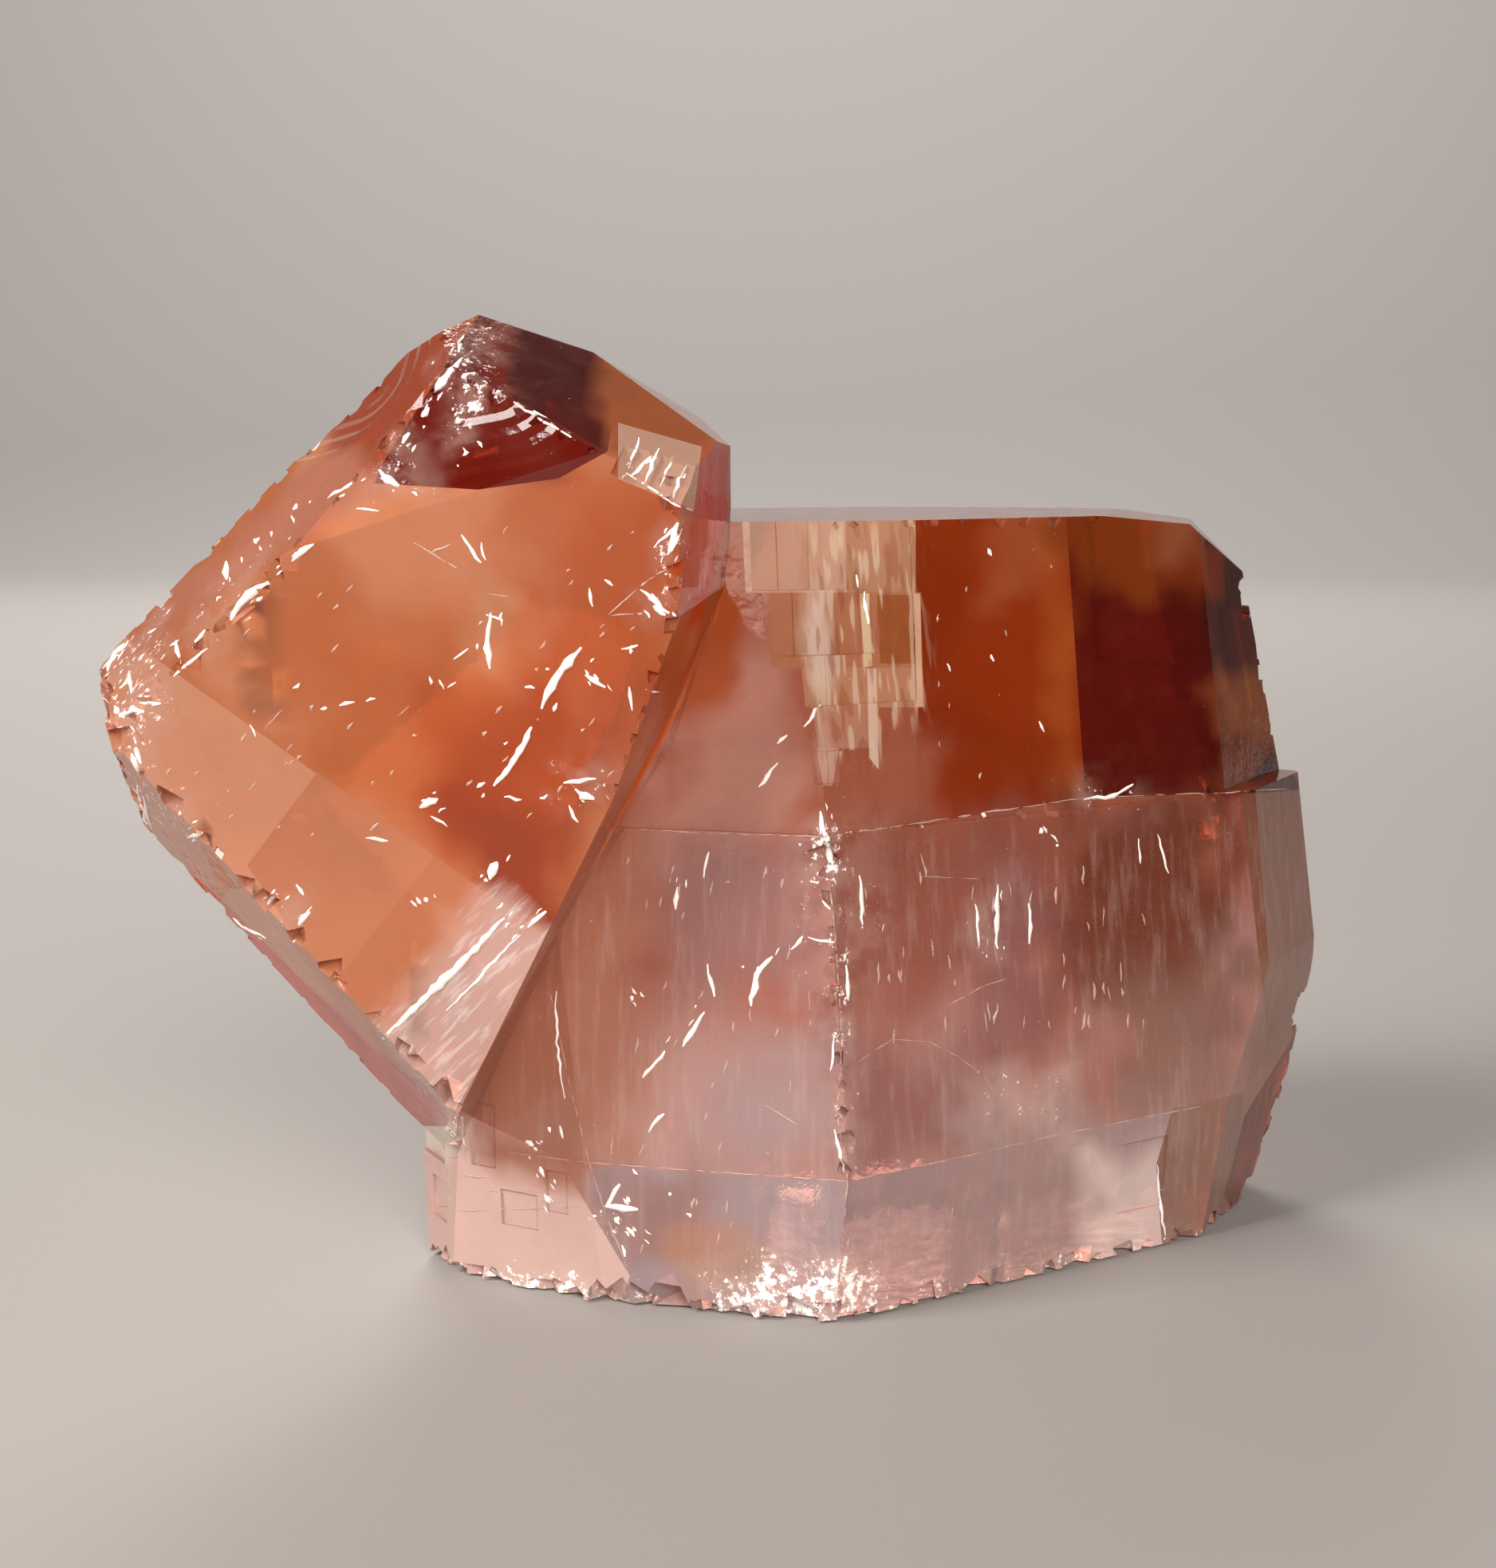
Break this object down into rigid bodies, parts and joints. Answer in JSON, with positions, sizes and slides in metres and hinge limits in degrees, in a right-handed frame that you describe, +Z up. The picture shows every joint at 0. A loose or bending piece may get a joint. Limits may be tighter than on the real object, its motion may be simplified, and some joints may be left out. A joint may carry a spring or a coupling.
{
  "type": "red calcite crystal",
  "caption": "Natural red calcite: a stout translucent crystal standing on its broken base, with another grown tilted through its left shoulder.",
  "frame": {"origin": "centre of the object's box in plan, at the level of the base that it stands on", "axes": "+Z up; +X to the right as the showing side is looked at, along the longest extent; the showing side faces -Y"},
  "size_m": [0.09, 0.0576, 0.0677],
  "materials": {
    "calcite": "glassy, translucent, orange to dark red above and milky pink below, with pale crushed edges"
  },
  "bodies": {
    "root": {"red_calcite": "calcite"}
  },
  "joints": []
}
